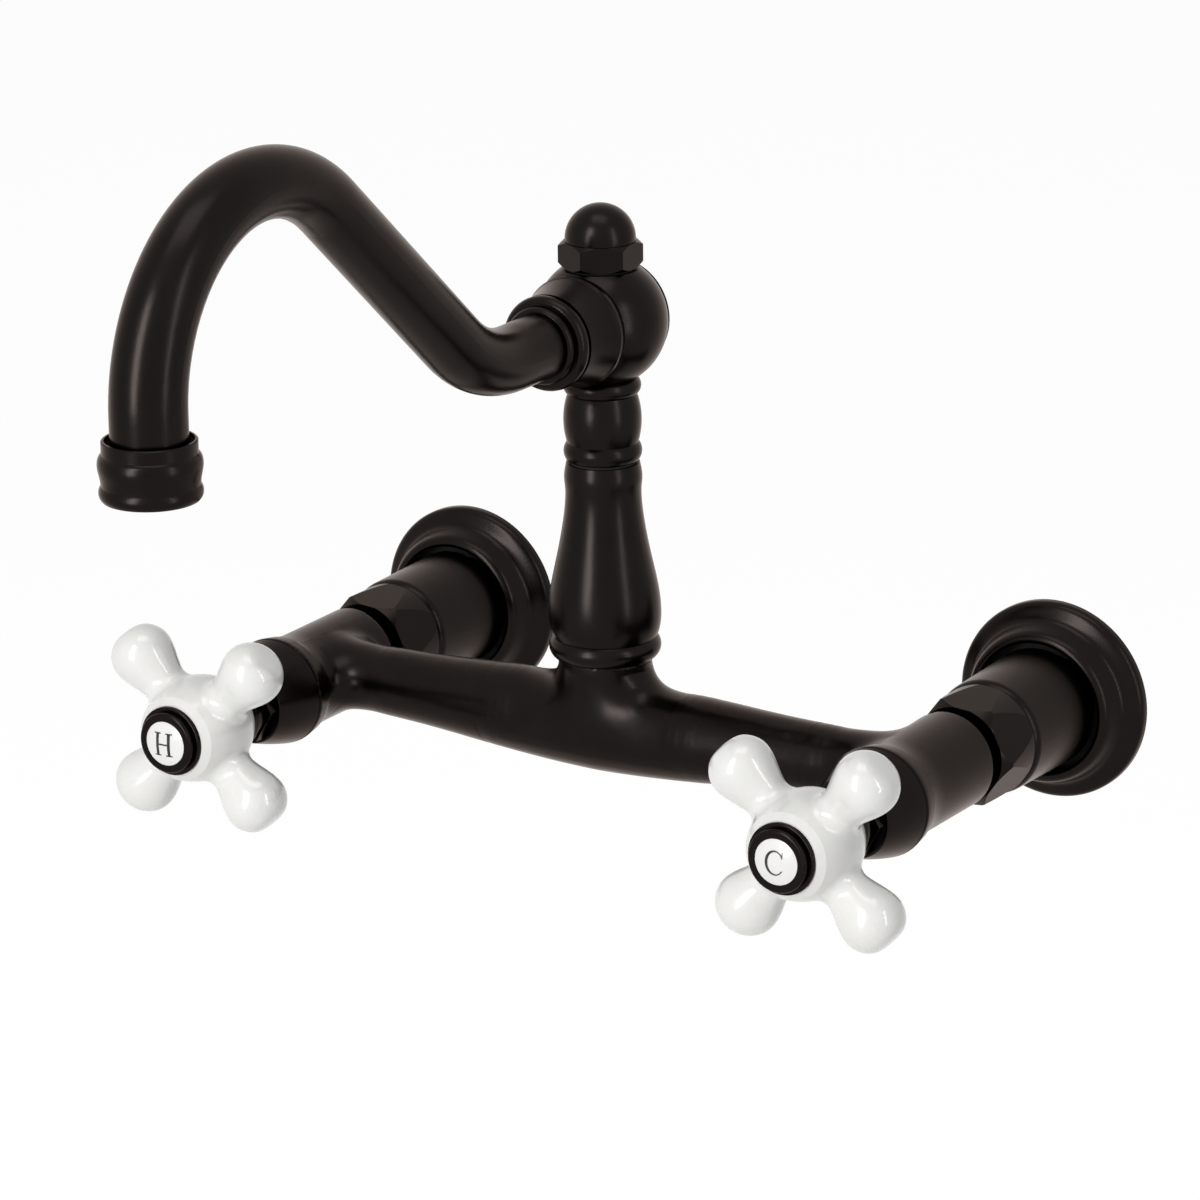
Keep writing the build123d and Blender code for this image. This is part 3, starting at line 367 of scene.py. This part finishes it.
# %% Finishes
FINISHES = {
    "bronze": finish(
        "oil-rubbed bronze", dark=(0.0105, 0.0088, 0.0082), light=(0.0158, 0.0132, 0.0123),
        rough=(0.22, 0.29), relief=0.00002, metal=1.0, rubbed=(0.034, 0.027, 0.024),
        Specular_Tint=(0.85, 0.78, 0.75, 1)),
    "porcelain": finish(
        "glazed porcelain", dark=(0.665, 0.66, 0.64), light=(0.725, 0.72, 0.70),
        rough=(0.16, 0.24), relief=0.00006, cloud=(60, 500, 0.2), grain=160,
        Coat_Weight=0.35, Coat_Roughness=0.05),
    "brass": finish(
        "machined brass", dark=(0.62, 0.42, 0.16), light=(0.74, 0.54, 0.24),
        rough=(0.22, 0.38), relief=0.00003, metal=1.0, rubbed=(0.9, 0.72, 0.4)),
    "rubber": finish(
        "black rubber", dark=(0.012, 0.012, 0.012), light=(0.03, 0.03, 0.03),
        rough=(0.6, 0.85), relief=0.00005),
    "fibre": finish(
        "red fibre", dark=(0.26, 0.07, 0.04), light=(0.42, 0.14, 0.09),
        rough=(0.7, 0.9), relief=0.0001),
    "nylon": finish(
        "white nylon", dark=(0.78, 0.78, 0.73), light=(0.88, 0.88, 0.84),
        rough=(0.35, 0.5), relief=0.00003),
    "black_nylon": finish(
        "black nylon", dark=(0.012, 0.012, 0.012), light=(0.025, 0.025, 0.025),
        rough=(0.6, 0.75), relief=0.00003, Specular_IOR_Level=0.2),
    "stainless": finish(
        "stainless steel", dark=(0.5, 0.5, 0.5), light=(0.64, 0.64, 0.63),
        rough=(0.18, 0.32), relief=0.00002, metal=1.0, rubbed=(0.8, 0.8, 0.8)),
    "ceramic": finish(
        "lapped ceramic", dark=(0.8, 0.79, 0.76), light=(0.9, 0.89, 0.86),
        rough=(0.12, 0.25), relief=0.00001),
}
SLOT_OF = {part["node"]: part["material_slot"] for part in frame["record"]["subparts"]}
for name, node in nodes.items():
    node.data.materials.clear()
    node.data.materials.append(FINISHES[SLOT_OF[name]])
print("finishes:", sorted(FINISHES))

# %% [markdown]
# ## Fairing the casting
# On the real casting the boss that carries the column flows into both arms, and the arms flow into
# the valve barrels, with no line between them. The solid joins them with plain saddles and fillets,
# whose edges catch the light. Copies of the casting are cut across, so that three stretches round
# the boss and the arm roots overlap four plain stretches by 2 mm. The three become even skins of
# small squares, whose creases are relaxed until they run out. The four keep the solid's own
# surface, and all seven are joined again. Bare numbers here are millimetres.

# %% Cutting the casting
FAIR_SKIN = 0.62 * MM
FAIR_TUCK = 0.03 * MM
MERGE_REACH = 0.001 * MM
CUT_REACH = 0.0001 * MM
TUCK_REACH = 4
SKIN_PARTS = ((-99, -68), (-40, 40), (68, 99))
PLAIN_PARTS = ((None, -97), (-70, -38), (38, 70), (97, None))


def merged_copy(name):
    """A node's triangles with their shared corners merged."""
    shape = bmesh.new()
    shape.from_mesh(nodes[name].data)
    bmesh.ops.remove_doubles(shape, verts=shape.verts, dist=MERGE_REACH)
    return shape


def cut_off(shape, at, side):
    """Takes away what lies beyond a plane across X, and closes the cut."""
    parts = shape.verts[:] + shape.edges[:] + shape.faces[:]
    cut = bmesh.ops.bisect_plane(
        shape, geom=parts, dist=CUT_REACH, plane_co=(at, 0, 0), plane_no=(side, 0, 0),
        clear_outer=True)
    rim = [item for item in cut["geom_cut"] if isinstance(item, bmesh.types.BMEdge)]
    bmesh.ops.triangle_fill(shape, use_beauty=True, edges=rim)


def casting_between(low, high):
    """The casting's part between two distances along X, as a closed shape."""
    shape = merged_copy("bridge_body")
    for at, side in ((low, -1), (high, 1)):
        if at is not None:
            cut_off(shape, at * MM, side)
    return shape


def even_skin(shape, size):
    """A closed shape rebuilt as an even skin of small squares."""
    mesh = bpy.data.meshes.new("skin")
    shape.to_mesh(mesh)
    shape.free()
    carrier = bpy.data.objects.new("skin", mesh)
    scene.collection.objects.link(carrier)
    remesh = carrier.modifiers.new("skin", "REMESH")
    remesh.mode = "VOXEL"
    remesh.voxel_size = size
    bpy.context.view_layer.update()
    ready = carrier.evaluated_get(bpy.context.evaluated_depsgraph_get())
    skin = bmesh.new()
    skin.from_mesh(ready.to_mesh())
    ready.to_mesh_clear()
    bpy.data.objects.remove(carrier)
    return skin


print("stretches:", len(SKIN_PARTS), "to relax and", len(PLAIN_PARTS), "plain")

# %% [markdown]
# ## Relaxing the skins
# Each round of smoothing draws a corner towards its neighbours. The first passes are wide and
# short, and the last ones narrow and long, so that the work fades out before the stretch ends. A
# boss pass gives its reach to either side, its lowest height and its rounds. A root pass gives its
# start and end along the arm, its depth to either side of the casting's axis and its rounds.

# %% Relaxed skins
BOSS_TOP = 18.5
BOSS_PASSES = ((33, -9, 30), (30, -6, 60), (27, -3, 110))
ROOT_PASSES = ((72, 96, 15, 20), (74, 95, 13, 40), (76, 94, 11, 70))
CASTING_AXIS = -86.6
RELAX_SHARE = 0.5
SHARP = math.radians(28)


def relax(shape, near, rounds):
    """Smooths the part of a skin for which near says yes, given a place in millimetres."""
    chosen = [vert for vert in shape.verts if near(vert.co / MM)]
    for _ in range(rounds):
        bmesh.ops.smooth_vert(
            shape, verts=chosen, factor=RELAX_SHARE,
            use_axis_x=True, use_axis_y=True, use_axis_z=True)


def relax_casting(shape):
    """Relaxes the boss and both arm roots in passes that close in on their creases."""
    for reach, bottom, rounds in BOSS_PASSES:
        relax(shape, lambda place: abs(place.x) < reach and bottom < place.z < BOSS_TOP, rounds)
    for start, end, depth, rounds in ROOT_PASSES:
        def in_root(place):
            return start < abs(place.x) < end and abs(place.y - CASTING_AXIS) < depth
        relax(shape, in_root, rounds)


def join_parts(name, parts):
    """Closed shapes joined in one smooth-shaded mesh that keeps its sharp edges sharp."""
    mesh = bpy.data.meshes.new(name)
    whole = bmesh.new()
    for part in parts:
        part.to_mesh(mesh)
        part.free()
        whole.from_mesh(mesh)
    for edge in whole.edges:
        edge.smooth = edge.calc_face_angle(0) < SHARP
    for face in whole.faces:
        face.smooth = True
        face.material_index = 0
    whole.to_mesh(mesh)
    whole.free()
    mesh.materials.clear()
    mesh.materials.append(FINISHES["bronze"])
    return mesh


def stand_in(name, mesh, node):
    """Shows a mesh in the place of a fixed bronze node."""
    piece = bpy.data.objects.new(name, mesh)
    scene.collection.objects.link(piece)
    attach(piece, "fixed_body")
    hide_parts(node)
    print(name, "faces:", len(mesh.polygons))


def skin_part(low, high):
    """A relaxed part of the casting, whose ends are tucked under the plain parts."""
    shape = even_skin(casting_between(low, high), FAIR_SKIN)
    relax_casting(shape)
    shape.normal_update()
    for vert in shape.verts:
        if min(vert.co.x / MM - low, high - vert.co.x / MM) < TUCK_REACH:
            vert.co -= vert.normal * FAIR_TUCK
    return shape


skins = [skin_part(low, high) for low, high in SKIN_PARTS]
plains = [casting_between(low, high) for low, high in PLAIN_PARTS]
stand_in("faired_bridge", join_parts("faired_bridge", skins + plains), "bridge_body")

# %% [markdown]
# ## The hot and cold marks
# The white discs carry a black H and a black C with fine serifs. A letter is drawn as a closed flat
# outline, filled and given a little thickness. It is then cut into small facets and laid over the
# crown of its disc, so that it follows the dome as fired enamel does. The outlines are in
# millimetres, and the C sweeps between two angles in degrees.

# %% Letter outlines
STEM, SERIF, BAR = 0.9, 0.34, 0.42
HALF_WIDE, HALF_TALL = 3.0, 3.5
SERIF_REACH = 0.62
C_START, C_END, C_STEPS = 42, 318, 24
C_OUTER_WIDE, C_OUTER_TALL = 2.95, 3.6
C_INNER_WIDE, C_INNER_TALL = 2.35, 3.2
C_INNER_SHIFT = 0.25
C_TAIL = (2.5, -2.0)
BEAK_BACK, BEAK_FRONT = 2.3, 2.5
BEAK_LOW, BEAK_HIGH = 1.5, 3.3


def letter_h():
    """One closed outline of a serif H, anticlockwise from the foot of its right stem."""
    inner = HALF_WIDE - SERIF_REACH - STEM
    outer = inner + STEM
    heel = inner - SERIF_REACH
    shelf = HALF_TALL - SERIF
    right = [
        (heel, -HALF_TALL), (HALF_WIDE, -HALF_TALL), (HALF_WIDE, -shelf), (outer, -shelf),
        (outer, shelf), (HALF_WIDE, shelf), (HALF_WIDE, HALF_TALL), (heel, HALF_TALL),
        (heel, shelf), (inner, shelf), (inner, BAR / 2),
    ]
    foot = [(inner, -BAR / 2), (inner, -shelf), (heel, -shelf)]
    left = [(-x, y) for x, y in reversed(right)]
    left_foot = [(-x, y) for x, y in reversed(foot)]
    return right + left + left_foot + foot


def letter_c():
    """One closed outline of a serif C: a round outer edge, a narrower inner edge and two beaks."""
    sweep = C_END - C_START
    outer, inner = [], []
    for step in range(C_STEPS + 1):
        angle = math.radians(C_START + step * sweep / C_STEPS)
        outer.append((C_OUTER_WIDE * math.cos(angle), C_OUTER_TALL * math.sin(angle)))
    for step in range(C_STEPS + 1):
        angle = math.radians(C_END - step * sweep / C_STEPS)
        x = C_INNER_WIDE * math.cos(angle) + C_INNER_SHIFT
        inner.append((x, C_INNER_TALL * math.sin(angle)))
    upper_beak = [(BEAK_BACK, BEAK_LOW), (BEAK_FRONT, BEAK_LOW),
                  (BEAK_FRONT, BEAK_HIGH), (BEAK_BACK, BEAK_HIGH)]
    return outer + [C_TAIL] + inner + upper_beak


print("outline points:", len(letter_h()), len(letter_c()))

# %% Letters on the discs
LETTER_THICKNESS = 0.12 * MM
LETTER_RISE = 0.05 * MM
DISC_RADIUS = 6.6 * MM
DISC_CROWN = 1.2 * MM
FACET = 0.5
FACET_SHIFT = 0.017
FACET_CUTS = 7


def dome_drop(distance):
    """How far the disc's face lies below its crown at a distance from its middle."""
    ball = (DISC_RADIUS ** 2 + DISC_CROWN ** 2) / (2 * DISC_CROWN)
    return ball - math.sqrt(ball ** 2 - distance ** 2)


def flat_outline(name, points):
    """A filled flat curve with a small thickness, turned into a mesh."""
    curve = bpy.data.curves.new(name, "CURVE")
    curve.dimensions = "2D"
    curve.fill_mode = "BOTH"
    curve.extrude = LETTER_THICKNESS / 2
    spline = curve.splines.new("POLY")
    spline.points.add(len(points) - 1)
    for point, (x, y) in zip(spline.points, points):
        point.co = (x * MM, y * MM, 0, 1)
    spline.use_cyclic_u = True
    drawn = bpy.data.objects.new(name + " outline", curve)
    scene.collection.objects.link(drawn)
    bpy.context.view_layer.update()
    mesh = bpy.data.meshes.new_from_object(drawn)
    bpy.data.objects.remove(drawn)
    return mesh


def laid_letter(name, points, node, body):
    """A letter cut into small facets and laid on the crown of a disc."""
    shape = bmesh.new()
    shape.from_mesh(flat_outline(name, points))
    bmesh.ops.remove_doubles(shape, verts=shape.verts, dist=MERGE_REACH)
    for step in range(-FACET_CUTS, FACET_CUTS + 1):
        for normal in ((1, 0, 0), (0, 1, 0)):
            parts = shape.verts[:] + shape.edges[:] + shape.faces[:]
            at = Vector(normal) * (step * FACET * MM + FACET_SHIFT * MM)
            bmesh.ops.bisect_plane(
                shape, geom=parts, plane_co=at, plane_no=normal, dist=MERGE_REACH)
    low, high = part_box(node)
    middle = (low + high) / 2
    for vert in shape.verts:
        x, y, z = vert.co
        height = z + LETTER_RISE - dome_drop(math.hypot(x, y))
        vert.co = Vector((middle.x + x, low.y - height, middle.z + y))
    bmesh.ops.recalc_face_normals(shape, faces=shape.faces)
    mesh = bpy.data.meshes.new(name)
    shape.to_mesh(mesh)
    shape.free()
    mesh.materials.append(ENAMEL)
    letter = bpy.data.objects.new(name, mesh)
    scene.collection.objects.link(letter)
    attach(letter, body)
    print(name, "faces:", len(mesh.polygons))


ENAMEL = finish(
    "black enamel", dark=(0.006, 0.006, 0.007), light=(0.012, 0.012, 0.013),
    rough=(0.2, 0.3), relief=0.00001)
laid_letter("hot_mark", letter_h(), "hot_index_button", "hot_handle")
laid_letter("cold_mark", letter_c(), "cold_index_button", "cold_handle")
